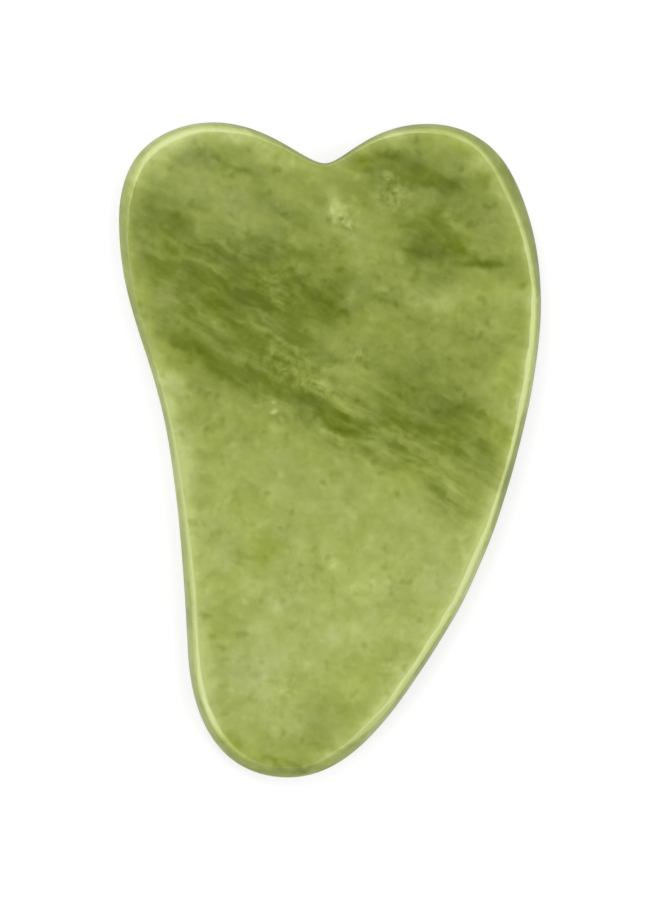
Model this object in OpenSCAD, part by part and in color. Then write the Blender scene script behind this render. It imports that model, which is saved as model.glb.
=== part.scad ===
// Gua sha board: one flat slab of jade, ground to a lopsided heart with a rounded edge.
// It lies on its lower face, lobes towards +Y and tip towards -Y. Millimetres.

/* [Board] */
// Length from the top of the left lobe to the tip
board_length = 85; // [75:1:95]
// Width from the left flank to the right flank
board_width = 54.8; // [49:0.2:61]
// Thickness of the slab
board_thickness = 6; // [4:0.5:8]

/* [Left lobe] */
// Distance of the left lobe's peak from the centre line
left_peak_x = 15; // [13:0.5:17]
// Depth of the left flank's widest point below the peak
left_flank_drop = 12.5; // [11:0.5:14]

/* [Right lobe] */
// Distance of the right lobe's peak from the centre line
right_peak_x = 12.5; // [11:0.5:14]
// How much lower the right lobe's peak is than the left one
right_peak_drop = 0.2; // [0:0.1:2]
// Distance of the right shoulder in from the right flank
shoulder_inset = 4.1; // [3.5:0.1:4.7]
// Depth of the right shoulder below the left peak
shoulder_drop = 6.2; // [5:0.2:7]
// Depth of the right flank's widest point below the left peak
right_flank_drop = 23.6; // [21:0.2:27]

/* [Notch] */
// Distance of the notch from the centre line, negative to the left
notch_x = -0.7; // [-2:0.1:1]
// Depth of the notch below the left peak
notch_depth = 5.3; // [4:0.1:7]
// Bluntness of the notch's round bottom
notch_blunt = 2.5; // [2:0.1:3.5]

/* [Left side and tip] */
// Distance of the hollow left side in from the left flank
waist_inset = 5.4; // [4:0.2:6]
// Depth of the hollow left side below the left peak
waist_drop = 36.5; // [33:0.5:40]
// Lean of the hollow left side off the board's length, in degrees
waist_lean = 14; // [11:1:17]
// Distance of the tip's left cheek in from the left flank
cheek_inset = 9; // [8:0.5:10]
// Height of the tip's left cheek above the tip
cheek_rise = 15.5; // [13:0.5:18]
// Distance of the tip from the centre line, negative to the left
tip_x = -5.5; // [-7:0.5:-4]
// Bluntness of the tip
tip_blunt = 6.5; // [5.5:0.5:7.5]

/* [Right side] */
// Distance of the right side in from the right flank, where it leaves the tip
side_inset = 11.7; // [10.5:0.1:13]
// Height above the tip where the right side leaves it
side_rise = 20; // [18:0.5:22]
// Lean of the right side off the board's length there, in degrees
side_lean = 31; // [28:1:34]

/* [Ground edge] */
// Width of the ground edge in the notch
notch_edge = 0.8; // [0.6:0.1:1.5]
// Width of the ground edge along the peaks and the long sides
side_edge = 1; // [0.6:0.1:1.8]
// Width of the ground edge on the left flank and beside the tip
flank_edge = 1.3; // [0.8:0.1:2]
// Width of the ground edge on the right shoulder and round the tip
broad_edge = 1.6; // [1:0.1:2.4]

/* [Hidden] */

jade_colour = [0.6, 0.65, 0.34];

top_y = board_length / 2;
side_x = board_width / 2;
half_thick = board_thickness / 2;

// Spacing of the stations along the outline, and the fewest between two anchors
station_gap = 1.2;
least_stations = 16;
// Facets across each half of the rounded edge
edge_facets = 6;

// Headings along the outline, and how far two anchors lean off them, in degrees
rightward = 0;
upward = 90;
leftward = 180;
downward = 270;
cheek_lean = 4;
shoulder_lean = 30;

// Anchors of the outline, anticlockwise from the notch, each as
// [point, heading, reach of the curve before it, reach of the curve after it, edge width]
anchors = [
    [[notch_x, top_y - notch_depth], leftward, notch_blunt, notch_blunt, notch_edge],
    [[-left_peak_x, top_y], leftward, 7, 4.5, side_edge],
    [[-side_x, top_y - left_flank_drop], downward, 10.5, 10, flank_edge],
    [[waist_inset - side_x, top_y - waist_drop], downward + waist_lean, 9, 11, side_edge],
    [[cheek_inset - side_x, cheek_rise - top_y], downward + cheek_lean, 4, 11, flank_edge],
    [[tip_x, -top_y], rightward, tip_blunt, tip_blunt + 0.5, broad_edge],
    [[side_x - side_inset, side_rise - top_y], upward - side_lean, 17, 13, side_edge],
    [[side_x, top_y - right_flank_drop], upward, 10.5, 7, side_edge],
    [[side_x - shoulder_inset, top_y - shoulder_drop], upward + shoulder_lean, 5, 2, broad_edge],
    [[right_peak_x, top_y - right_peak_drop], leftward, 7, 7.5, side_edge]
];

// A cubic curve through the controls c, and its direction of travel
function curve_point(c, t) =
    pow(1 - t, 3) * c[0] + 3 * pow(1 - t, 2) * t * c[1]
    + 3 * (1 - t) * pow(t, 2) * c[2] + pow(t, 3) * c[3];
function curve_slope(c, t) =
    pow(1 - t, 2) * (c[1] - c[0]) + 2 * (1 - t) * t * (c[2] - c[1])
    + pow(t, 2) * (c[3] - c[2]);

// The four controls of the curve from anchor a to anchor b
function controls(a, b) = [
    a[0],
    a[0] + a[3] * [cos(a[1]), sin(a[1])],
    b[0] - b[2] * [cos(b[1]), sin(b[1])],
    b[0]
];

// Stations of the outline, each as [point, unit inward normal, edge width]
function station(a, b, t) =
    let (c = controls(a, b), slope = curve_slope(c, t), ease = t * t * (3 - 2 * t))
    [curve_point(c, t), [-slope[1], slope[0]] / norm(slope), a[4] + (b[4] - a[4]) * ease];

stations = [
    for (i = [0 : len(anchors) - 1])
        let (
            a = anchors[i],
            b = anchors[(i + 1) % len(anchors)],
            count = max(least_stations, ceil(norm(b[0] - a[0]) / station_gap))
        )
        for (k = [0 : count - 1]) station(a, b, k / count)
];

// The edge's section is an arc, upright at mid-thickness, that meets each flat face at a crease.
// level is 1 at the upper crease, 0 at mid-thickness and -1 at the lower crease.
function edge_point(s, level) =
    let (crease = 2 * atan(s[2] / half_thick), r = half_thick / sin(crease), a = level * crease)
    let (p = s[0] + s[1] * r * (1 - cos(a)))
    [p[0], p[1], half_thick + r * sin(a)];

// A closed shell: rings of edge points from the upper crease down, each face fanned from its middle
module ground_slab() {
    ring_count = 2 * edge_facets + 1;
    size = len(stations);
    upper_middle = ring_count * size;
    lower_middle = upper_middle + 1;
    edge_points = [
        for (j = [0 : ring_count - 1]) for (s = stations) edge_point(s, 1 - j / edge_facets)
    ];
    edge_faces = [
        for (j = [0 : ring_count - 2]) for (i = [0 : size - 1])
            let (
                next = (i + 1) % size,
                upper = j * size,
                lower = upper + size
            )
            each [
                [upper + i, upper + next, lower + next],
                [upper + i, lower + next, lower + i]
            ]
    ];
    flat_faces = [
        for (i = [0 : size - 1])
            let (next = (i + 1) % size, lowest = (ring_count - 1) * size)
            each [[upper_middle, next, i], [lower_middle, lowest + i, lowest + next]]
    ];
    polyhedron(
        points = concat(edge_points, [[0, 0, board_thickness], [0, 0, 0]]),
        faces = concat(edge_faces, flat_faces)
    );
}

// The block that the slab lies in cuts each flat face as one whole plane
module jade_board() {
    color(jade_colour) intersection() {
        ground_slab();
        translate([-board_width, -board_length, 0])
            cube([2 * board_width, 2 * board_length, board_thickness]);
    }
}

jade_board();
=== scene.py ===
"""A gua sha board of polished green jade, lying on a white table under soft studio light.

Lengths are millimetres in the board's own frame, and become metres where Blender takes them.
"""

import math

import bpy
import numpy as np
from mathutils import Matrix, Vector
from mathutils.geometry import delaunay_2d_cdt


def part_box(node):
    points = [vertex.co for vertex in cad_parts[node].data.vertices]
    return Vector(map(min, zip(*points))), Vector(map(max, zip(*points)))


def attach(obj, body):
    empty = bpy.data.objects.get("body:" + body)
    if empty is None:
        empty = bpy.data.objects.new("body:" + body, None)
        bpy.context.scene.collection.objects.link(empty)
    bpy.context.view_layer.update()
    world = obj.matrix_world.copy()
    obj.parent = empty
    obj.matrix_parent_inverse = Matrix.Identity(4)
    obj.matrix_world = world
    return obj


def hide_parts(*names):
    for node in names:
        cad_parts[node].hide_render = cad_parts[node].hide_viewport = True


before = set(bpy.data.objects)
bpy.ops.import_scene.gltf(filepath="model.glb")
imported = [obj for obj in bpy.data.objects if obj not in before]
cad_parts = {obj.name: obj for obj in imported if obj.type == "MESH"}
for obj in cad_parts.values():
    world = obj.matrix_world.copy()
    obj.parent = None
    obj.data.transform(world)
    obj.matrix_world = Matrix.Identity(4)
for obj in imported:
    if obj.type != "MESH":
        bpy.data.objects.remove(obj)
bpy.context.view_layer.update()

# A millimetre in Blender's metres
MM = 0.001
# The CAD board, two corners of its box, and the heights of its upper face and mid-thickness
NODE = "jade_board"
LOW, HIGH = (np.array(corner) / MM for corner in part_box(NODE))
TOP = HIGH[2]
HALF_THICK = (HIGH[2] - LOW[2]) / 2
MIDDLE = LOW[2] + HALF_THICK

# The seed of every random draw
SEED = 41
# How closely corners of the CAD board count as being at one height, and as one corner
SAME_HEIGHT = 0.01
SAME_CORNER = 0.05
# The mesh: stations round the outline, rings across each half of its rounded edge, the first
# rings in over the face, how far apart the face's other points are, the circles of points at a
# pit, in radii of the pit, and the points on each circle
STATIONS = 720
ARC_RINGS = 8
CREASE_RINGS = 16
FLAT_RINGS = (0.15, 0.4, 0.8, 1.3)
FACE_STEP = 0.8
PIT_CIRCLES = (0.2, 0.4, 0.6, 0.8, 0.93, 1.06, 1.25)
PIT_CORNERS = 20
# How far the face's other points keep from its ring, in steps, and from a pit, in radii of it
# and in millimetres besides
RING_GAP = 0.6
PIT_GAP = (1.35, 0.1)
# What makes Blender's triangulation keep only what is inside the border, and the gap it closes
INSIDE_ONLY = 1
LEAST_GAP = 1e-6

# How much narrower the ground edge is than the CAD board's, where that is narrow and broad, each
# (its width, width lost)
EDGE_LOSSES = [(1.0, 0.2), (1.6, 0.0)]
# What is added to the edge's width at some spots, each (x, y, radius, width added)
WIDTH_SPOTS = [
    (23, 36, 16, 0.3),
    (12.5, 42.5, 8, 0.1),
    (26.5, 26, 8, 0.1),
    (23, -5, 8, 0.1),
    (9, -33, 8, -0.15),
    (2, -40.5, 7, 0.2),
    (-17.5, -30, 14, -0.2),
]
# The crease between edge and face is rubbed round, this far down the edge and in over the
# face, by a curve that is pulled this much towards the corner
RUB_DROP = 0.5
RUB_REACH = 0.85
RUB_FULLNESS = 0.55
# The least rubbing that is left anywhere, and what is added to a rubbing of 1 at some spots, each
# (x, y, radius, rubbing added). With less rubbing the crease is sharper, the edge duller and its
# painted highlight fainter.
LEAST_RUB = 0.1
RUB_SPOTS = [
    (-0.7, 37.2, 20, -0.9),
    (-27, 22, 22, -0.8),
    (-21.5, 3, 32, -0.6),
    (-5.5, -42.5, 16, -0.9),
    (22.5, 37, 14, -0.5),
    (27.5, 24, 12, -0.25),
    (24, -4, 16, -0.45),
    (-17, -35, 8, 0.2),
]
# How far hand grinding lets the edge wander, and how much its width and its rubbing vary
EDGE_WANDER = 0.05
WIDTH_VARIES = 0.08
RUB_VARIES = 0.3
# How far the polished faces dip, in how many waves, and the least and greatest length of a wave
FACE_DIP = 0.03
WAVES = 9
WAVE_LENGTHS = (7, 22)
# The most widths of the edge that a point is counted to be in from the outline
FAR_IN = 4.0
# In widths of the edge from the outline, where its painted shade starts to fade and where it is gone
SHADE_FROM = 0.7
SHADE_TO = 1.2
# Painted shade on the ground edge: how much darker its colour is made than the face's, and what
# is added to that at some spots, each (x, y, radius, lightness added)
PAINTED_EDGE_SHADE = -0.25
PAINTED_SHADE_SPOTS = [
    (-27, 22, 26, 0.25),
    (-20, -4, 14, 0.12),
    (-5.5, -42.5, 9, 0.4),
    (2.5, -40.5, 8, -0.1),
    (12, -29, 16, -0.4),
    (-18, -30, 16, -0.18),
    (-1, 38, 12, 0.15),
    (24, -4, 18, -0.35),
    (27, 25, 12, -0.22),
    (24.5, 32, 8, -0.1),
    (20, 40, 9, -0.2),
]

# Pits in the polish, each as (x, y, radius, depth)
UPPER_PITS = [
    (1.6, 29.7, 0.5, 0.02),
    (2.3, 27.9, 0.35, 0.01),
    (7.4, 35.0, 0.4, 0.015),
    (8.5, 33.5, 0.4, 0.015),
    (9.3, 31.4, 0.35, 0.01),
    (-5.6, 23.4, 0.35, 0.01),
    (-7.3, 5.0, 0.5, 0.035),
    (-9.2, 6.2, 0.3, 0.01),
    (-1.2, 7.6, 0.35, 0.015),
    (-2.9, 9.8, 0.3, 0.01),
    (3.6, 12.4, 0.3, 0.01),
    (-0.8, -4.0, 0.35, 0.015),
    (-6.0, -10.1, 0.3, 0.01),
    (-4.8, -7.8, 0.3, 0.01),
]
LOWER_PITS = [
    (-14.5, 27.0, 0.45, 0.02),
    (-6.0, 31.0, 0.35, 0.01),
    (12.0, 25.5, 0.5, 0.03),
    (14.0, 24.1, 0.35, 0.015),
    (4.0, 9.0, 0.3, 0.01),
    (-10.0, -2.0, 0.4, 0.015),
    (6.5, -12.0, 0.35, 0.01),
    (-3.0, -21.5, 0.45, 0.02),
    (-8.5, -30.0, 0.3, 0.01),
]


def in_order(points):
    """The points in order round the board's middle, from where its whole outline can be seen."""
    return points[np.argsort(np.arctan2(points[:, 1], points[:, 0]))]


def cad_ring(height):
    """The corners of the CAD board at one height, in order round it, each once."""
    corners = np.array([v.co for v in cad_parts[NODE].data.vertices]) / MM
    ring = in_order(corners[np.abs(corners[:, 2] - height) < SAME_HEIGHT][:, :2])
    steps = np.linalg.norm(ring - np.roll(ring, 1, 0), axis=1)
    return ring[steps > SAME_CORNER]


def smooth_ring(points, count):
    """A smooth closed curve through the points, cut into even steps."""
    ahead = np.roll(points, -1, 0) - points
    reach = np.linalg.norm(ahead, axis=1)[:, None]
    before, reach_before = np.roll(ahead, 1, 0), np.roll(reach, 1, 0)
    slope = (ahead / reach * reach_before + before / reach_before * reach) / (reach + reach_before)
    starts = np.concatenate([[0], np.cumsum(reach[:, 0])])
    places = np.linspace(0, starts[-1], count, endpoint=False)
    i = np.searchsorted(starts, places, side="right") - 1
    j = (i + 1) % len(points)
    t = ((places - starts[i]) / reach[i, 0])[:, None]
    return (
        (1 + 2 * t) * (1 - t) ** 2 * points[i]
        + t * (1 - t) ** 2 * reach[i] * slope[i]
        + t**2 * (3 - 2 * t) * points[j]
        - t**2 * (1 - t) * reach[i] * slope[j]
    )


def inward_normals(ring):
    """The unit normal into the board at each station of its outline."""
    along = np.roll(ring, -1, 0) - np.roll(ring, 1, 0)
    along /= np.linalg.norm(along, axis=1)[:, None]
    return np.stack([-along[:, 1], along[:, 0]], axis=1)


def distance_to_ring(points, ring):
    """The distance of each point from a closed line."""
    step = np.roll(ring, -1, 0) - ring
    reach = points[:, None] - ring[None]
    share = np.clip((reach * step).sum(2) / (step**2).sum(1), 0, 1)
    return np.linalg.norm(reach - share[..., None] * step, axis=2).min(1)


def wander(count, waves, rng):
    """A smooth closed line of values from 0 to 1, made of a few random waves."""
    turn = np.linspace(0, 2 * math.pi, count, endpoint=False)
    total = sum(
        np.cos(n * turn + rng.uniform(0, 2 * math.pi)) * rng.uniform(0.4, 1) for n in waves
    )
    return (total - total.min()) / (total.max() - total.min())


def ease(share):
    """A share from 0 to 1, made to start and end gently."""
    return share**2 * (3 - 2 * share)


def varied(values, share, waves, rng):
    """The values, made up to half of the share larger or smaller in a smooth wander."""
    return values * (1 + share * (wander(len(values), waves, rng) - 0.5))


def spotted(ring, spots, base):
    """A value at each station: the base, and what each spot (x, y, radius, step) adds near it."""
    total = np.full(len(ring), float(base))
    for x, y, radius, step in spots:
        near = np.clip(1 - np.hypot(ring[:, 0] - x, ring[:, 1] - y) / radius, 0, 1)
        total += step * ease(near)
    return total


def edge_rows(width, rub):
    """Rows from the flat face down to the middle of the edge, as (inset, height, ground).

    The edge is an arc, upright at mid-thickness, and a curve rounds its crease with the face.
    Height is above mid-thickness. Ground is 0 on the face and 1 on the edge, and rises over the
    first third of the curve.
    """
    radius = HALF_THICK / np.sin(2 * np.arctan(width / HALF_THICK))
    low = HALF_THICK - RUB_DROP * rub
    lift = np.arcsin(low / radius)
    start = radius * (1 - np.cos(lift))
    corner = start + (HALF_THICK - low) * np.tan(lift)
    flat_from = corner + RUB_REACH * rub
    level = np.full_like(width, HALF_THICK)
    rows = [(flat_from + step, level, 0.0) for step in FLAT_RINGS[::-1]]
    for t in np.linspace(0, 1, CREASE_RINGS + 1):
        to_face, to_edge = (1 - t) ** 3, t**3
        face_pull, edge_pull = 3 * t * (1 - t) ** 2, 3 * t**2 * (1 - t)
        k = RUB_FULLNESS
        near_face = flat_from + k * (corner - flat_from)
        near_edge = start + k * (corner - start)
        inset = to_face * flat_from + face_pull * near_face + edge_pull * near_edge + to_edge * start
        fall = (edge_pull * (1 - k) + to_edge) * (HALF_THICK - low)
        rows.append((inset, HALF_THICK - fall, ease(min(t * 3, 1))))
    for share in np.linspace(1, 0, ARC_RINGS + 1)[1:]:
        rows.append((radius * (1 - np.cos(lift * share)), radius * np.sin(lift * share), 1.0))
    return rows


def face_dip(points, pits, rng):
    """How far the polished face lies below its plane: slow waves from the wheel, and its pits."""
    waves = np.zeros(len(points))
    for _ in range(WAVES):
        heading = rng.uniform(0, math.pi)
        number = 2 * math.pi / rng.uniform(*WAVE_LENGTHS)
        across = points @ np.array([math.cos(heading), math.sin(heading)])
        waves += np.cos(across * number + rng.uniform(0, 2 * math.pi))
    dip = FACE_DIP * (0.5 + waves / (2 * WAVES))
    for x, y, radius, depth in pits:
        reach = np.hypot(points[:, 0] - x, points[:, 1] - y) / radius
        dip += depth * np.clip(1 - reach**2, 0, 1) ** 1.5
    return dip


def face_points(ring, pits):
    """An even spread of points inside the ring, with finer circles of points at each pit."""
    row = FACE_STEP * math.sqrt(3) / 2
    spread = np.array(
        [
            (x + FACE_STEP / 2 * (k % 2), y)
            for k, y in enumerate(np.arange(LOW[1], HIGH[1], row))
            for x in np.arange(LOW[0], HIGH[0], FACE_STEP)
        ]
    )
    ring_turn = np.arctan2(ring[:, 1], ring[:, 0])
    order = np.argsort(ring_turn)
    limit = np.interp(
        np.arctan2(spread[:, 1], spread[:, 0]),
        ring_turn[order],
        np.hypot(*ring[order].T),
        period=2 * math.pi,
    )
    keep = np.hypot(*spread.T) < limit - FACE_STEP * RING_GAP
    circles = []
    for x, y, radius, _ in pits:
        clear = radius * PIT_GAP[0] + PIT_GAP[1]
        keep &= np.hypot(spread[:, 0] - x, spread[:, 1] - y) > clear
        for share in PIT_CIRCLES:
            turn = np.linspace(0, 2 * math.pi, PIT_CORNERS, endpoint=False) + share
            reach = radius * share
            circles.append(np.stack([x + reach * np.cos(turn), y + reach * np.sin(turn)], 1))
    return np.concatenate([spread[keep], *circles])


def fill_face(ring, pits):
    """Triangles over the flat inside the ring: the extra points, and corners counted ring first."""
    extra = face_points(ring, pits)
    every = [Vector(p) for p in np.concatenate([ring, extra])]
    border = [(i, (i + 1) % len(ring)) for i in range(len(ring))]
    _, _, faces, origins, _, _ = delaunay_2d_cdt(every, border, [], INSIDE_ONLY, LEAST_GAP)
    return extra, [[origins[corner][0] for corner in face] for face in faces]


def nearest_station(points, ring):
    """The distance from each point to the nearest station of the outline."""
    return np.array([np.hypot(*(ring - point).T).min() for point in points])


def set_values(mesh, name, values):
    """Keeps one number for each point of the mesh, for the stone's material to read."""
    attribute = mesh.attributes.new(name, "FLOAT", "POINT")
    attribute.data.foreach_set("value", values.astype(np.float32))


def fade_inwards(edge):
    """1 on the outer part of the ground edge, falling to 0 just inside its crease."""
    return ease(np.clip((SHADE_TO - edge) / (SHADE_TO - SHADE_FROM), 0, 1))


def band_faces(rows):
    """The four-sided faces between one ring of stations and the next, over all the rings."""
    faces = []
    for j in range(rows - 1):
        outer, inner = j * STATIONS, (j + 1) * STATIONS
        for i in range(STATIONS):
            k = (i + 1) % STATIONS
            faces.append([outer + i, inner + i, inner + k, outer + k])
    return faces


def moved(faces, ring_start, extra_start):
    """A filled face's triangles, by where its ring and its extra points start in the mesh."""
    extra_start -= STATIONS
    return [[c + (ring_start if c < STATIONS else extra_start) for c in face] for face in faces]


def keep_marks(mesh, outline, rows, width, rub, inner):
    """Keeps what the stone's material reads at each point of the mesh.

    That is its distance in from the outline, in millimetres and in widths of the edge, the painted
    shade of its edge, its rubbing, and whether it is ground. Inner is that distance for the points
    on the faces.
    """
    insets = [inset for inset, _, _ in rows]
    edges = [np.minimum(inset / width, FAR_IN) for inset in insets]
    # Painted shade on the ground edge, lighter or darker at some spots, fading out inside the crease
    shade = spotted(outline, PAINTED_SHADE_SPOTS, PAINTED_EDGE_SHADE)
    for name, on_rings, inside in (
        ("inset", insets, inner),
        ("edge", edges, np.full_like(inner, FAR_IN)),
        ("shade", [shade * fade_inwards(edge) for edge in edges], np.zeros_like(inner)),
        ("rub", [rub.clip(0, 1)] * len(rows), np.ones_like(inner)),
        ("ground", [np.full(STATIONS, ground) for _, _, ground in rows], np.zeros_like(inner)),
    ):
        set_values(mesh, name, np.concatenate([*on_rings, inside]))


def ground_outline(rng):
    """The outline's stations, with the inward normal, edge width and rubbing at each."""
    outline = smooth_ring(cad_ring(MIDDLE), STATIONS)
    width = distance_to_ring(outline, smooth_ring(cad_ring(TOP), STATIONS))
    width -= np.interp(width, *zip(*EDGE_LOSSES))
    width += spotted(outline, WIDTH_SPOTS, 0)
    width = varied(width, WIDTH_VARIES, range(5, 40), rng)
    inward = inward_normals(outline)
    outline = outline + inward * EDGE_WANDER * wander(STATIONS, range(6, 30), rng)[:, None]
    rub = np.maximum(spotted(outline, RUB_SPOTS, 1), LEAST_RUB)
    return outline, inward, width, varied(rub, RUB_VARIES, range(8, 70), rng)


def polished(flat, height, rng):
    """The points' heights above mid-thickness, with both faces dipped towards it."""
    upper_dip = face_dip(flat, UPPER_PITS, rng)
    lower_dip = face_dip(flat, LOWER_PITS, rng)
    up, down = np.clip(height / HALF_THICK, 0, 1), np.clip(-height / HALF_THICK, 0, 1)
    return height - upper_dip * up**2 + lower_dip * down**2


def make_board():
    """The board's mesh, smooth where the CAD board has facets, and within its box."""
    rng = np.random.default_rng(SEED)
    outline, inward, width, rub = ground_outline(rng)
    half = edge_rows(width, rub)
    rows = half + [(inset, -height, ground) for inset, height, ground in half[-2::-1]]
    rings = [outline + inward * inset[:, None] for inset, _, _ in rows]
    upper_extra, upper_faces = fill_face(rings[0], UPPER_PITS)
    lower_extra, lower_faces = fill_face(rings[-1], LOWER_PITS)
    extra = np.concatenate([upper_extra, lower_extra])

    flat = np.concatenate([*rings, extra])
    heights = [height for _, height, _ in rows]
    heights += [np.full(len(upper_extra), HALF_THICK), np.full(len(lower_extra), -HALF_THICK)]
    height = polished(flat, np.concatenate(heights), rng)
    points = np.column_stack([flat, MIDDLE + height]).clip(LOW, HIGH)

    on_rings = len(rows) * STATIONS
    faces = band_faces(len(rows)) + moved(upper_faces, 0, on_rings)
    flipped = [face[::-1] for face in lower_faces]
    faces += moved(flipped, on_rings - STATIONS, on_rings + len(upper_extra))
    mesh = bpy.data.meshes.new("polished_board")
    mesh.from_pydata((points * MM).tolist(), [], faces)
    mesh.shade_smooth()
    keep_marks(mesh, outline, rows, width, rub, nearest_station(extra, outline))
    board = bpy.data.objects.new("polished_board", mesh)
    bpy.context.scene.collection.objects.link(board)
    return board


class Nodes:
    """Adds nodes to a node tree, where an input is a value or another node's output."""

    def __init__(self, tree):
        self.tree = tree
        tree.nodes.clear()

    def add(self, kind, inputs=None, **settings):
        """A new node, with its inputs by name or number and its settings by name."""
        node = self.tree.nodes.new(kind)
        for name, value in settings.items():
            setattr(node, name, value)
        for name, value in (inputs or {}).items():
            if isinstance(value, bpy.types.NodeSocket):
                self.tree.links.new(value, node.inputs[name])
            else:
                node.inputs[name].default_value = value
        return node

    def math(self, operation, *values):
        """The result of an operation on plain values."""
        inputs = dict(enumerate(values))
        return self.add("ShaderNodeMath", inputs, operation=operation).outputs[0]

    def vector(self, operation, *values, scale=None):
        """The result of an operation on vectors."""
        inputs = dict(enumerate(values))
        if scale is not None:
            inputs["Scale"] = scale
        node = self.add("ShaderNodeVectorMath", inputs, operation=operation)
        return node.outputs["Value" if operation == "LENGTH" else "Vector"]

    def noise(self, where, scale, detail=2.0, roughness=0.5, output="Fac"):
        """Cloudy noise at a place, finer with a larger scale."""
        inputs = {"Vector": where, "Scale": scale, "Detail": detail, "Roughness": roughness}
        return self.add("ShaderNodeTexNoise", inputs).outputs[output]

    def spread(self, value, low, high, to_low=0.0, to_high=1.0, smooth=True):
        """A value from low to high, carried over to another range and held at its ends."""
        inputs = {"Value": value, "From Min": low, "From Max": high}
        inputs |= {"To Min": to_low, "To Max": to_high}
        kind = "SMOOTHSTEP" if smooth else "LINEAR"
        return self.add("ShaderNodeMapRange", inputs, interpolation_type=kind).outputs["Result"]

    def turned(self, where, angle, size):
        """Coordinates turned by an angle in degrees, in units of a size."""
        inputs = {"Vector": where, "Scale": size, "Rotation": (0, 0, math.radians(angle))}
        return self.add("ShaderNodeMapping", inputs, vector_type="TEXTURE").outputs["Vector"]

    def ramp(self, value, stops):
        """The colour at a value, between stops that are each (value, colour)."""
        node = self.add("ShaderNodeValToRGB", {"Fac": value})
        points = node.color_ramp.elements
        while len(points) < len(stops):
            points.new(1.0)
        for point, (place, colour) in zip(points, stops):
            point.position = place
            point.color = (*colour, 1)
        return node.outputs["Color"]


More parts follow.
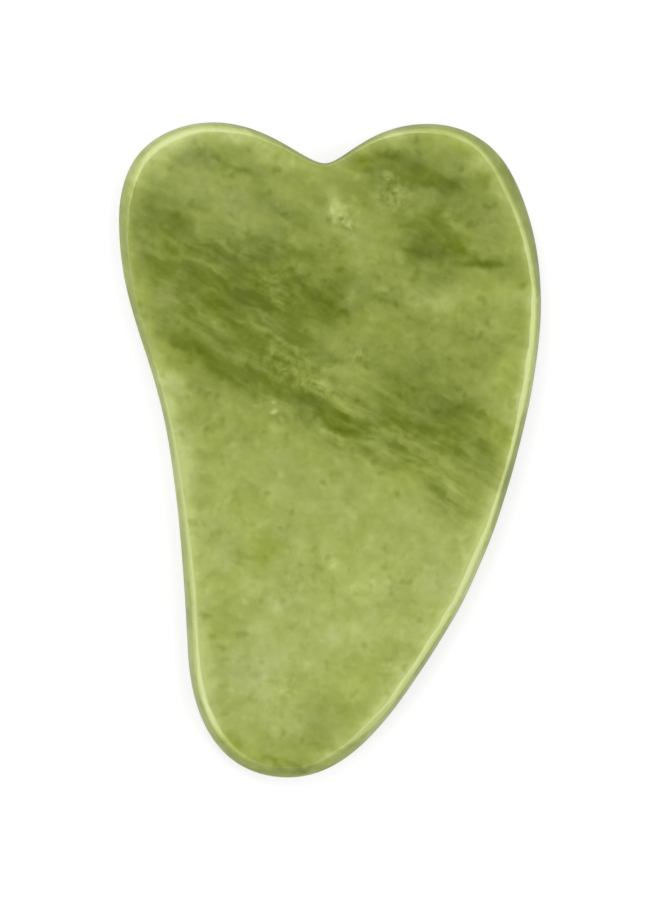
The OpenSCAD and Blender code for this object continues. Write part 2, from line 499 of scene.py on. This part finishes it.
# Colour clouds of the stone, each as (x, y, length, width, heading in degrees, lightness added)
DARK_CLOUDS = [
    # Upper left
    (-12, 21, 34, 13, -15, -0.34),
    (-14, 27.5, 22, 7, -12, -0.16),
    (-8, 25.5, 18, 5, -8, -0.14),
    (-1, 24.5, 10, 5, -20, -0.12),
    (1, 21.5, 8, 5, 0, -0.14),
    (-18, 26, 14, 3, -5, -0.14),
    (-22.5, 24, 9, 4, -15, -0.16),
    (-12.5, 20.7, 15, 3.2, -28, -0.16),
    (-15, 18.5, 15, 3, -33, -0.16),
    (-22.5, 30.5, 12, 7, -30, -0.26),
    (-24, 27, 5, 8, 0, -0.12),
    (-11, 36, 9, 1.8, -22, -0.2),
    (-2.5, 20.5, 14, 3.6, -38, -0.2),
    (-1, 18, 12, 6, 0, -0.18),
    (-5, 14, 20, 12, -20, -0.2),
    (-6, 30, 14, 7, -20, -0.08),
    # The long band from the left flank down to the right side
    (-18, 13, 17, 4.2, -33, -0.3),
    (-12, 12, 16, 6, -30, -0.2),
    (-10.5, 9, 16, 5, -12, -0.24),
    (-4, 6.5, 12, 4, -25, -0.12),
    (-0.5, 5, 18, 4.6, -28, -0.34),
    (2, 4, 16, 5, -20, -0.14),
    (4.5, 2.5, 14, 5, -22, -0.22),
    (6, 7, 12, 5, -20, -0.16),
    (11, 3, 14, 5, -15, -0.26),
    (15, 4.5, 12, 8, -30, -0.2),
    (17.5, 5.5, 12, 6, -35, -0.2),
    (18, -0.5, 15, 7, -30, -0.26),
    (21, 1, 8, 8, -60, -0.16),
    (14.5, -5.5, 14, 4, -42, -0.24),
    (8, -0.8, 18, 5, -8, -0.18),
    (10, 8, 20, 6, -25, -0.22),
    (13.5, 10.5, 8, 4, -20, -0.1),
    (15, 0, 18, 9, -35, -0.16),
    (20, -3.5, 10, 6, -60, -0.2),
    (14, -8, 8, 4, -40, -0.12),
    # Right lobe
    (15, 31, 22, 20, 0, -0.14),
    (8.5, 37.3, 13, 4.5, -10, -0.26),
    (10.5, 35.8, 8, 2.6, 0, -0.2),
    (14.5, 34.2, 9, 3.4, -10, -0.26),
    (14, 25.8, 13, 5.5, -5, -0.36),
    (13, 29, 10, 6, 0, -0.2),
    (11.5, 25, 5, 5, 0, -0.12),
    (5, 38, 9, 5, 20, -0.22),
    (20, 24.2, 10, 3, 0, -0.16),
    (19, 23.8, 10, 1.6, 0, -0.26),
    (7.5, 19.3, 9, 1.8, -25, -0.12),
    # The waist and the tip
    (-9, -13, 12, 6, 0, -0.12),
    (-7.5, -11.5, 8, 4, 0, -0.08),
    (-14, -22, 7, 9, 0, -0.1),
    (9, -19, 8, 5, 0, -0.06),
    (8, -26, 12, 7, 0, -0.08),
    (2, -28, 8, 6, 0, -0.06),
    (-1, -33.5, 9, 12, 0, -0.14),
    (4, -34, 12, 6, 45, -0.14),
    (-15, -33, 5, 10, -20, -0.1),
    (-6, -38.5, 16, 6, 0, -0.18),
    (-5, -41.5, 24, 6, 0, -0.34),
    # Touches of shade, all over the face
    (3, 37.5, 6, 4, 0, -0.14),
    (-6, 25, 14, 4, -8, -0.07),
    (16, 3.5, 12, 5, -25, -0.09),
    (7.5, 4, 7, 3, 0, -0.12),
    (-3.5, 4.2, 5, 2.5, -25, -0.14),
    (1, 1, 6, 3, -20, -0.1),
    (10, 0.5, 8, 3.5, -10, -0.05),
    (10, -2, 8, 3, -20, -0.1),
    (15, -6.5, 8, 4, -50, -0.08),
    (-12, -37.5, 5, 5, 0, -0.15),
    (-2, -37, 8, 6, 0, -0.12),
    (1.5, -38.5, 6, 4, 30, -0.12),
    (-4.5, -41.5, 14, 4, 0, -0.15),
    (6, 34.5, 6, 4, 0, -0.12),
    (-3, 25, 7, 3, -10, -0.12),
    (-19.5, 22.5, 7, 6, -30, -0.12),
    (-17.6, 16.8, 7, 5, -35, -0.2),
    (15, 22, 5, 3.5, 0, -0.12),
    (11.5, 11, 6, 6, 0, -0.15),
    (21, 13, 5, 8, 0, -0.1),
    (-15, 10.5, 6, 4, -30, -0.16),
    (-9, 7, 5, 3, -20, -0.1),
    (9, 7, 6, 4, -20, -0.1),
    (20.5, 3.8, 5, 3.5, 0, -0.18),
    (-12, -14, 6, 4, 0, -0.08),
    (1.5, -29, 6, 5, 0, -0.08),
    (-13.5, -36.5, 6, 5, -40, -0.16),
    (3, -38, 5, 4, 30, -0.16),
    (-3, -41.2, 9, 3, 0, -0.18),
    (-20.5, 37.5, 7, 5, 20, -0.16),
    (-14.5, 37.3, 6, 4, 0, -0.14),
    (-25.3, 28.5, 3, 7, 0, -0.16),
    (-17.5, 31.5, 7, 3, -30, -0.1),
    (-19, 26, 6, 3, -10, -0.12),
    (-18.7, 20.4, 5, 4, 0, -0.2),
    (-1, 24, 5, 4, 20, -0.14),
    (4, 21, 6, 6, -20, -0.1),
    (14, 21.5, 9, 6, 0, -0.12),
    (-22.7, 14.5, 4, 4, 0, -0.12),
    (-21, 9.7, 3, 2.5, 0, -0.1),
    (-14, 9, 6, 3, -20, -0.1),
    (-2.5, 2.7, 5, 2, -20, -0.1),
    (1, 7.5, 6, 2, -30, -0.08),
    (10.5, 5.5, 5, 3, 0, -0.12),
    (22.5, 13, 4, 6, -20, -0.14),
    (18, -6, 8, 4, -40, -0.18),
    (11, 39, 4, 4, 0, -0.1),
    (-7, -10.5, 6, 2.5, 0, -0.07),
    (-2, -30, 6, 5, 0, -0.06),
    (-17, 37.4, 13, 5, 0, -0.13),
    (-21, 33, 7, 4, -30, -0.07),
    (-18, 29, 5, 8, 20, -0.08),
    (-13.5, 24.9, 13, 2.4, -8, -0.16),
    (-19, 21.2, 5, 5, 0, -0.08),
    (-1.7, 22.8, 5, 4, 0, -0.18),
    (14, 19.7, 9, 3, 5, -0.1),
    (11, 34.6, 7, 3, 0, -0.17),
    (11, 38.7, 4, 3, 0, -0.1),
    (22.5, 11.2, 4, 5, -20, -0.1),
    (2, 4, 46, 13, -22, -0.07),
    (-13, 9, 9, 3, -10, -0.08),
    (10.2, 4, 5, 6, 0, -0.08),
    (18, 5.3, 8, 3, -30, -0.1),
    (23, 1.5, 4, 6, -10, -0.14),
    (13, -6, 14, 5, -30, -0.07),
    (-10, -6.2, 3, 5, 0, -0.08),
    (-17.4, -21.5, 3.5, 16, 0, -0.13),
    (-10, -39.8, 7, 3.5, -30, -0.18),
    (-4, -40, 10, 3, 0, -0.1),
    (8.3, -29.5, 5, 4, 40, -0.13),
    (-7, 22.8, 3.5, 2.5, 0, -0.12),
    (6.5, 36, 8, 2, 5, -0.14),
    (6.8, 18.5, 3.5, 3, 0, -0.1),
    (8.8, 20.5, 3, 8, 0, -0.06),
    # Spots
    (-4.9, 23.3, 1.8, 1.6, 0, -0.25),
    (1.2, 23, 1.8, 2, 0, -0.16),
    (1.6, 29.6, 1.6, 1.3, 0, -0.4),
    (-0.8, -4, 1.6, 1.6, 0, -0.25),
    (-4.8, -7.8, 1.2, 1.2, 0, -0.15),
    (-6, -10, 1.2, 1.2, 0, -0.15),
]
# Light clouds along the rim, at the top left and down the left side, are partly the stone's colour
# and partly a painted glow of light inside its thin edge
LIGHT_CLOUDS = [
    (0.8, 31.3, 9, 3.4, -62, 0.22),
    (4, 26, 8, 12, 0, 0.1),
    (-7, 38, 12, 4, -20, 0.1),
    (-20, 38.5, 16, 5, 40, 0.26),
    (-11, 40.5, 12, 4, -10, 0.22),
    (21, 35.5, 14, 4, -50, 0.2),
    (15, 19.5, 18, 7, 8, 0.22),
    (22.5, 15, 7, 15, 0, 0.2),
    (22, 10, 6, 10, -15, 0.2),
    (-20.5, 9, 7, 5, 0, 0.3),
    (-8.5, 5.5, 6, 3.4, 0, 0.14),
    (-18.5, -2, 5, 22, 0, 0.1),
    (3, 10, 10, 4, -10, 0.1),
    (0, -12.5, 6, 4, 0, 0.07),
    (-9, -18, 9, 5, 0, 0.04),
    (5, -18, 10, 10, 0, 0.06),
    (0.5, -24, 6, 5, 0, 0.1),
    (-8, -27, 9, 10, 0, 0.08),
    (-21, 39, 8, 5, 40, 0.15),
    (3, 31, 10, 5, 0, 0.14),
    (23, 19.5, 6, 6, 0, 0.14),
    (26, 14, 4, 28, 0, 0.2),
    (25.5, 27, 4, 12, 15, 0.12),
    (22, 38, 10, 4, -50, 0.12),
    (-19, 40.5, 7, 3.5, 25, 0.16),
    (-8, 37, 7, 4, -20, 0.14),
    (-25, 36, 4, 6, -10, 0.14),
    (18.5, 36.5, 5, 4, -40, 0.22),
    (-9, 29.5, 8, 6, -10, 0.1),
    (0, 29, 6, 6, 0, 0.1),
    (12, 31, 6, 3, 0, 0.08),
    (-14, 22, 6, 3, -30, 0.1),
    (24, 22, 4, 5, 0, 0.08),
    (-8.5, 16, 6, 4, -20, 0.1),
    (24, 6.5, 4, 7, -10, 0.15),
    (-19, 6, 5, 5, 0, 0.1),
    (-15, 23, 6, 3, -10, 0.24),
    (-15.5, 19.2, 6, 2.5, -20, 0.14),
    (-8, 14.8, 5, 3.5, -20, 0.2),
    (-6.5, 11, 5, 3, -30, 0.17),
    (-18, 6.5, 7, 5, 0, 0.08),
    (-14, 6, 4, 3.5, 0, 0.12),
    (-3, 7.3, 6, 2.6, -20, 0.24),
    (4.5, 2.5, 10, 3, -22, 0.34),
    (-8, 1, 4, 7, 20, 0.14),
    (-7.5, -5, 4, 7, 0, 0.12),
    (-2, -7.3, 4, 5, 0, 0.13),
    (7, 14.5, 7, 7, 0, 0.07),
    (17, 36, 7, 5, -20, 0.12),
    (21.3, 32.3, 4, 6, 0, 0.17),
    (16.5, 31.2, 5, 3, 0, 0.1),
    (18, 26, 5, 3, 0, 0.14),
    (14.5, 6.5, 5, 3, -30, 0.08),
    (14.5, -1.5, 6, 4, 20, 0.15),
    (23.5, 5.5, 3.5, 4, 0, 0.1),
    (5.5, 38.4, 9, 2.6, 8, 0.13),
    (0.3, 33.2, 5, 4, 0, 0.16),
    (1, -15.5, 6, 7, 30, 0.1),
    (-5, -17.5, 8, 4, 40, 0.06),
    (-15, -17.5, 5, 4, 0, 0.07),
    (8.5, -27, 6, 4, 20, 0.06),
    # These four down the left side are partly a painted glow inside the thin edge
    (-26, 23, 4, 8, 10, 0.14),
    (-24, 17, 4, 6, 15, 0.12),
    (-22.3, 11, 4, 6, 15, 0.14),
    (-21, 5.5, 3.5, 7, 10, 0.18),
    (-12, 28.8, 11, 5, 0, 0.08),
    (24.7, 9.5, 3, 6, -10, 0.1),
    (21, 20.3, 8, 3, 30, 0.1),
    (16, 28.6, 5, 3, -20, 0.1),
    (11.5, 31, 7, 7, 0, 0.06),
    (12, 26, 3, 3, 0, 0.08),
    (-4, 19, 5, 6, 0, 0.06),
    (-11, 16.5, 4, 3, 0, 0.07),
    (12, -18, 9, 8, 0, 0.06),
    (-4, -13, 5, 6, 0, 0.06),
    (7, -13.5, 4, 4, 0, 0.06),
    (-9, -31, 10, 7, 0, 0.08),
    (-16, -8, 4, 9, 0, 0.05),
    (-12, -5, 3, 5, 0, 0.08),
    (-18.5, 9, 3, 2.5, 0, 0.14),
    (7.3, -3.3, 4, 3.5, 0, 0.08),
    (7.2, 31.5, 3, 5, 20, 0.12),
    (-11.5, 21.2, 4, 2, -20, 0.12),
    (-12, -26, 6, 6, 0, 0.06),
    # Flecks
    (-7.3, 5, 1.8, 1.2, 0, 0.45),
    (0.5, 30.9, 2, 1, -60, 0.22),
    (2.9, 29.4, 1.3, 1.1, 60, 0.25),
    (-7.2, 6.1, 1.1, 0.8, 0, 0.25),
    (-6.6, 4.1, 1.3, 0.8, -40, 0.2),
    (-9.6, 5.8, 1.3, 0.9, 0, 0.15),
    (2.7, 28.9, 1.6, 1.2, -30, 0.3),
    (-1.2, 7.7, 2, 1, -20, 0.3),
    (3.6, 12.3, 1.6, 1, 40, 0.2),
    (15.2, 30.1, 2.4, 1.6, 0, 0.2),
    (7.3, 35.3, 2.4, 1.4, -10, 0.25),
]

# Where the stone is finely mottled, each as (x, y, length, width, heading, strength)
MOTTLED = [
    (8, 33, 8, 8, 0, 1.0),
    (-6, 21, 14, 10, -30, 0.6),
    (-6, 11, 16, 10, -20, 0.8),
    (-1.5, 8, 7, 4, -20, 0.8),
    (2, 29.5, 6, 8, 20, 0.8),
    (3.5, 12, 6, 5, 0, 0.6),
    (-4, -17, 10, 8, 40, 0.4),
    (-6, -31, 8, 6, 30, 0.4),
]

# Where its streaks are fibrous, in the same form
FIBROUS = [
    (-12, 20, 40, 26, -25, 0.3),
    (6, 3, 50, 16, -22, 0.3),
    (16, -6, 14, 8, -45, 0.2),
    (14, 26, 20, 10, -10, 0.1),
]

# Where the stone is milky or, with a negative strength, clear, in the same form
MILKY = [
    (-12, 30, 20, 14, -15, 1.0),
    (-8, 25, 10, 6, 0, 0.8),
    (8, 34, 14, 8, -40, 0.8),
    (14, 32, 12, 6, 0, 0.7),
    (14, 20, 14, 8, 0, 0.9),
    (-12, 20, 8, 4, 0, 0.6),
    (-12.5, -38, 8, 3, -50, -2),
    (-10, -28, 10, 14, 0, 1.4),
    (1, -24.5, 8, 5, 0, 0.7),
    (14, -16, 6, 10, -30, 0.4),
    (4, 37, 8, 5, 20, -1.2),
    (2, 3, 22, 8, -15, -0.4),
    (12, 1, 14, 8, -15, -0.6),
    (22, 6, 8, 24, 0, -1.0),
    (-9, -12, 8, 9, 0, -1.2),
    (3, -30, 12, 14, 0, -0.8),
    (-6, -40, 18, 6, 0, -1.0),
    (16, 40, 10, 4, -25, -1.0),
    (-20, 8, 6, 5, 0, 0.6),
]

# Lightness of the stone to its colour
JADE_STOPS = [
    (0.0, (0.085, 0.11, 0.01)),
    (0.25, (0.125, 0.155, 0.022)),
    (0.4, (0.16, 0.195, 0.038)),
    (0.6, (0.22, 0.255, 0.06)),
    (0.75, (0.265, 0.305, 0.085)),
    (0.9, (0.32, 0.36, 0.12)),
    (1.0, (0.36, 0.405, 0.15)),
]
# How light the stone is at the tip, the waist and the lobes, and from where to where along the
# board it changes over
TIP_LIGHTNESS = 0.78
WAIST_LIGHTNESS = 0.69
LOBE_LIGHTNESS = 0.5
TIP_TO_WAIST = (-24, -2)
WAIST_TO_LOBES = (-4, 12)
# How deep a cloud reaches through the stone, how far it leans for each millimetre down, and how
# far slow and quick wavering move it
CLOUD_DEPTH = 80
CLOUD_LEAN = (0.45, -0.3, 0)
SLOW_WAVER = 2.0
QUICK_WAVER = 0.9
# How the stone's fibres and broad bands run, by their heading in degrees and their size along
# it, across it and downwards
FIBRE_HEADING = -29
FIBRE_SIZE = (5, 1.3, 2)
BAND_HEADING = -24
BAND_SIZE = (8, 2.6, 4)
# Its dark and light specks, each as (shift of their noise, scale, lightness added)
SPECKS = [((60, 20, 0), 0.6, -0.2), ((-40, 70, 0), 0.5, 0.15)]
# What the ground edge adds to the polish's roughness, where it is rubbed and where it isn't
RUBBED_ROUGHNESS = 0.1
DULL_ROUGHNESS = 0.45
# How many clouds are summed before the next ones wait for the sum, and how little that moves them
BATCH = 40
HAIR = 1e-6


def stone_place(nodes):
    """Millimetres inside the stone, with its clouds leaning and wavering through it."""
    place = nodes.add("ShaderNodeTexCoord").outputs["Object"]
    place = nodes.vector("SCALE", place, scale=1 / MM)
    height = nodes.add("ShaderNodeSeparateXYZ", {"Vector": place}).outputs["Z"]
    depth = nodes.math("SUBTRACT", float(TOP), height)
    lean = nodes.vector("SCALE", CLOUD_LEAN, scale=depth)
    place = nodes.vector("ADD", place, lean)
    slow = nodes.vector("SUBTRACT", nodes.noise(place, 0.16, 2, output="Color"), (0.5, 0.5, 0.5))
    quick = nodes.vector("SUBTRACT", nodes.noise(place, 0.7, 3, output="Color"), (0.5, 0.5, 0.5))
    wavering = nodes.vector("ADD", place, nodes.vector("SCALE", slow, scale=SLOW_WAVER))
    return place, nodes.vector("ADD", wavering, nodes.vector("SCALE", quick, scale=QUICK_WAVER))


def add_clouds(nodes, where, clouds, lightness):
    """Adds each cloud of a list to the lightness.

    Each batch's place hangs by a hair on the sum so far, because Cycles turns a material black
    that holds too many values at once, and so it must add one batch up before the next.
    """
    for k, (x, y, length, width, heading, step) in enumerate(clouds):
        if k % BATCH == 0 and isinstance(lightness, bpy.types.NodeSocket):
            where = nodes.vector("MULTIPLY_ADD", lightness, (HAIR, HAIR, HAIR), where)
        ball = nodes.add("ShaderNodeTexGradient", {"Vector": where}, gradient_type="SPHERICAL")
        ball.texture_mapping.vector_type = "TEXTURE"
        ball.texture_mapping.translation = (x, y, TOP)
        ball.texture_mapping.rotation = (0, 0, math.radians(heading))
        ball.texture_mapping.scale = (length / 2, width / 2, CLOUD_DEPTH / 2)
        cloud = nodes.spread(ball.outputs["Fac"], 0, 1, 0, step)
        lightness = nodes.math("ADD", lightness, cloud)
    return lightness


def stone_streaks(nodes, wavering, fibres):
    """The dark streaks and patches, which the stone's fibres break up."""
    streaks = add_clouds(nodes, wavering, DARK_CLOUDS, 0.0)
    strength = nodes.math("MULTIPLY_ADD", fibres, -0.5, 1.3)
    return nodes.math("MULTIPLY", streaks, strength)


def stone_lightness(nodes, place, wavering, drift):
    """How light the stone is, from 0 to 1, by its zones, streaks, clouds, grain and specks."""
    along = nodes.add("ShaderNodeSeparateXYZ", {"Vector": wavering}).outputs["Y"]
    fine = nodes.turned(wavering, FIBRE_HEADING, FIBRE_SIZE)
    fibres = nodes.spread(nodes.noise(fine, 1.0), 0.3, 0.7, smooth=False)
    coarse = nodes.turned(wavering, BAND_HEADING, BAND_SIZE)

    lightness = nodes.spread(along, *TIP_TO_WAIST, TIP_LIGHTNESS, WAIST_LIGHTNESS)
    lightness = nodes.math("ADD", lightness, stone_streaks(nodes, wavering, fibres))
    to_lobes = nodes.spread(along, *WAIST_TO_LOBES, 0, LOBE_LIGHTNESS - WAIST_LIGHTNESS)
    lightness = nodes.math("ADD", lightness, to_lobes)
    lightness = add_clouds(nodes, wavering, LIGHT_CLOUDS, lightness)

    # Each pattern, and how far its own range moves the lightness
    for pattern, gain in (
        (fibres, add_clouds(nodes, place, FIBROUS, 0.03)),
        (nodes.noise(coarse, 1.0), nodes.spread(along, -12, 12, 0, 0.4)),
        (nodes.noise(wavering, 0.32, 2, 0.4), 0.34),
        (nodes.noise(wavering, 0.8, 3), 0.27),
        (nodes.noise(place, 1.1), add_clouds(nodes, place, MOTTLED, 0.1)),
        (drift, 0.2),
    ):
        centred = nodes.math("SUBTRACT", pattern, 0.5)
        lightness = nodes.math("MULTIPLY_ADD", centred, gain, lightness)
    for shift, scale, step in SPECKS:
        specks = nodes.noise(nodes.vector("ADD", place, shift), scale, 1, 0.4)
        specks = nodes.spread(specks, 0.58, 0.85, 0, step)
        lightness = nodes.math("ADD", lightness, specks)
    return lightness


def edge_marks(nodes):
    """The values that the mesh keeps for its edge, by name."""
    return {
        name: nodes.add("ShaderNodeAttribute", attribute_name=name).outputs["Fac"]
        for name in ("inset", "edge", "shade", "rub", "ground")
    }


def painted_edge_light(nodes, marks, drift):
    """Painted light and shade at the rim: a glow inside it, a lit crease, and a shaded edge."""
    # A painted glow inside the rim, a painted highlight on and beside the crease (fainter where it
    # is less rubbed), and the painted shade of the edge
    glow = nodes.math("MULTIPLY", nodes.spread(marks["inset"], 0.8, 4.5, 0.35, 0), drift)
    painted_margin_light = nodes.math("MULTIPLY", nodes.spread(marks["inset"], 1.1, 2.5, 0.2, 0), marks["rub"])
    crease = nodes.math("MULTIPLY", nodes.spread(marks["edge"], 0.6, 1.0, 0, 0.15), marks["rub"])
    crease = nodes.math("MULTIPLY", crease, marks["ground"])
    rim = nodes.math("ADD", glow, painted_margin_light)
    rim = nodes.math("ADD", rim, crease)
    return nodes.math("ADD", rim, marks["shade"])


def stone_colour(nodes, lightness, wavering):
    """The colour for a lightness, greyer where the stone is milky."""
    colour = nodes.ramp(lightness, JADE_STOPS)
    haze = nodes.noise(nodes.vector("ADD", wavering, (20, -50, 0)), 0.22, 3)
    saturation = nodes.math("MULTIPLY_ADD", haze, -0.2, 1.12)
    milkiness = add_clouds(nodes, wavering, MILKY, 0.0)
    saturation = nodes.math("MULTIPLY_ADD", milkiness, -0.05, saturation)
    inputs = {"Color": colour, "Saturation": saturation}
    return nodes.add("ShaderNodeHueSaturation", inputs).outputs["Color"]


def polish_roughness(nodes, marks, place):
    """The roughness of the polish: faint smears on the faces, and a duller ground edge."""
    smears = nodes.noise(place, 0.5, 4, 0.6)
    roughness = nodes.spread(smears, 0.3, 0.7, 0.1, 0.16)
    roughness = nodes.math("ADD", roughness, nodes.spread(marks["edge"], 0.3, 0.8, 0.2, 0.0))
    rubbing = RUBBED_ROUGHNESS - DULL_ROUGHNESS
    dull = nodes.math("MULTIPLY_ADD", marks["rub"], rubbing, DULL_ROUGHNESS)
    dull = nodes.math("MULTIPLY", dull, marks["ground"])
    return nodes.math("ADD", roughness, dull)


def make_jade():
    """Cloudy green stone with darker diagonal streaks and a clear polish."""
    jade = bpy.data.materials.new("polished_jade")
    jade.use_nodes = True
    nodes = Nodes(jade.node_tree)
    place, wavering = stone_place(nodes)
    marks = edge_marks(nodes)
    drift = nodes.noise(place, 0.12, 3)
    lightness = stone_lightness(nodes, place, wavering, drift)
    # The rim's painted light and shade, added to the stone's own lightness
    lightness = nodes.math("ADD", lightness, painted_edge_light(nodes, marks, drift))
    shader = nodes.add(
        "ShaderNodeBsdfPrincipled",
        {
            "Base Color": stone_colour(nodes, lightness, wavering),
            "Roughness": polish_roughness(nodes, marks, place),
            "IOR": 1.65,
            "Specular IOR Level": 0.4,
            "Specular Tint": (0.97, 1.0, 0.75, 1),
            "Subsurface Weight": 0.25,
            "Subsurface Radius": (1.0, 1.2, 0.5),
            "Subsurface Scale": 0.8 * MM,
        },
    )
    nodes.add("ShaderNodeOutputMaterial", {"Surface": shader.outputs[0]})
    return jade


# Light and camera. Each softbox is (name, azimuth, elevation, width, height, brightness), where
# azimuth 0 is towards +X and 90 towards +Y.
SOFTBOXES = [
    ("right_softbox", -14, 55, 460, 590, 3.7),
    ("upper_right_softbox", 45, 55, 240, 400, 2.2),
    ("upper_left_softbox", 118, 55, 380, 590, 4.5),
    ("lower_left_softbox", 208, 49, 240, 420, 5.0),
]
# How far off each softbox hangs
LIGHT_DISTANCE = 700
# The room's brightness from the horizon up to straight overhead, by the sine of the elevation
SKY_STOPS = [
    (0.0, (1.0, 1.0, 1.0)),
    (0.04, (0.95, 0.95, 0.95)),
    (0.25, (0.4, 0.4, 0.4)),
    (0.5, (0.4, 0.4, 0.4)),
    (0.95, (0.08, 0.08, 0.08)),
]
# The table, in metres: how far it reaches, and where its glow starts and stops rising
TABLE_REACH = 3.0
GLOW_FROM, GLOW_TO = 0.1, 0.8
# The camera's lens and sensor, and the length that its picture shows from top to bottom, at the
# board's mid-thickness
LENS = 100
SENSOR = 36
VIEW_LENGTH = 116.8


def direction(azimuth, elevation):
    """The unit vector towards a point of the sky."""
    a, e = math.radians(azimuth), math.radians(elevation)
    return Vector((math.cos(a) * math.cos(e), math.sin(a) * math.cos(e), math.sin(e)))


def make_softbox(name, azimuth, elevation, width, height, brightness):
    """A rectangular lamp that faces the board. Brightness is what a mirror would show of it."""
    light = bpy.data.lights.new(name, "AREA")
    light.shape = "RECTANGLE"
    light.size = width * MM
    light.size_y = height * MM
    light.energy = brightness * math.pi * light.size * light.size_y
    lamp = bpy.data.objects.new(name, light)
    lamp.location = direction(azimuth, elevation) * LIGHT_DISTANCE * MM
    lamp.rotation_euler = lamp.location.to_track_quat("Z", "Y").to_euler()
    lamp.visible_camera = False
    bpy.context.scene.collection.objects.link(lamp)


def make_sky():
    """A pale room, dimmer straight above the board than round it."""
    world = bpy.data.worlds.new("studio")
    world.use_nodes = True
    nodes = Nodes(world.node_tree)
    towards = nodes.add("ShaderNodeTexCoord").outputs["Generated"]
    up = nodes.add("ShaderNodeSeparateXYZ", {"Vector": towards}).outputs["Z"]
    colour = nodes.ramp(up, SKY_STOPS)
    sky = nodes.add("ShaderNodeBackground", {"Color": colour, "Strength": 1.0})
    nodes.add("ShaderNodeOutputWorld", {"Surface": sky.outputs[0]})
    bpy.context.scene.world = world


def make_table():
    """A plain white table top that glows a little, and reaches far past the board."""
    mesh = bpy.data.meshes.new("table_top")
    signs = ((-1, -1), (1, -1), (1, 1), (-1, 1))
    corners = [(x * TABLE_REACH, y * TABLE_REACH, 0) for x, y in signs]
    mesh.from_pydata(corners, [], [(0, 1, 2, 3)])
    table = bpy.data.objects.new("table_top", mesh)
    table.location.z = LOW[2] * MM
    bpy.context.scene.collection.objects.link(table)
    white = bpy.data.materials.new("white_table")
    white.use_nodes = True
    nodes = Nodes(white.node_tree)
    far = nodes.vector("LENGTH", nodes.add("ShaderNodeTexCoord").outputs["Object"])
    inputs = {
        "Base Color": (0.3, 0.3, 0.3, 1),
        "Roughness": 0.6,
        "Emission Color": (1, 1, 1, 1),
        "Emission Strength": nodes.spread(far, GLOW_FROM, GLOW_TO, 0.62, 0.95),
    }
    shader = nodes.add("ShaderNodeBsdfPrincipled", inputs)
    nodes.add("ShaderNodeOutputMaterial", {"Surface": shader.outputs[0]})
    mesh.materials.append(white)


def make_camera():
    """The camera, straight above the board, with the lobes at the top of the picture."""
    data = bpy.data.cameras.new("camera")
    data.lens = LENS
    data.sensor_width = SENSOR
    camera = bpy.data.objects.new("camera", data)
    centre = (LOW + HIGH) / 2
    camera.location = Vector(centre) * MM
    camera.location.z += VIEW_LENGTH * LENS / SENSOR * MM
    bpy.context.scene.collection.objects.link(camera)
    bpy.context.scene.camera = camera


make_camera()
board = make_board()
board.data.materials.append(make_jade())
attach(board, "root")
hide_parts(NODE)

make_sky()
make_table()
for softbox in SOFTBOXES:
    make_softbox(*softbox)
bpy.context.scene.view_settings.view_transform = "Standard"
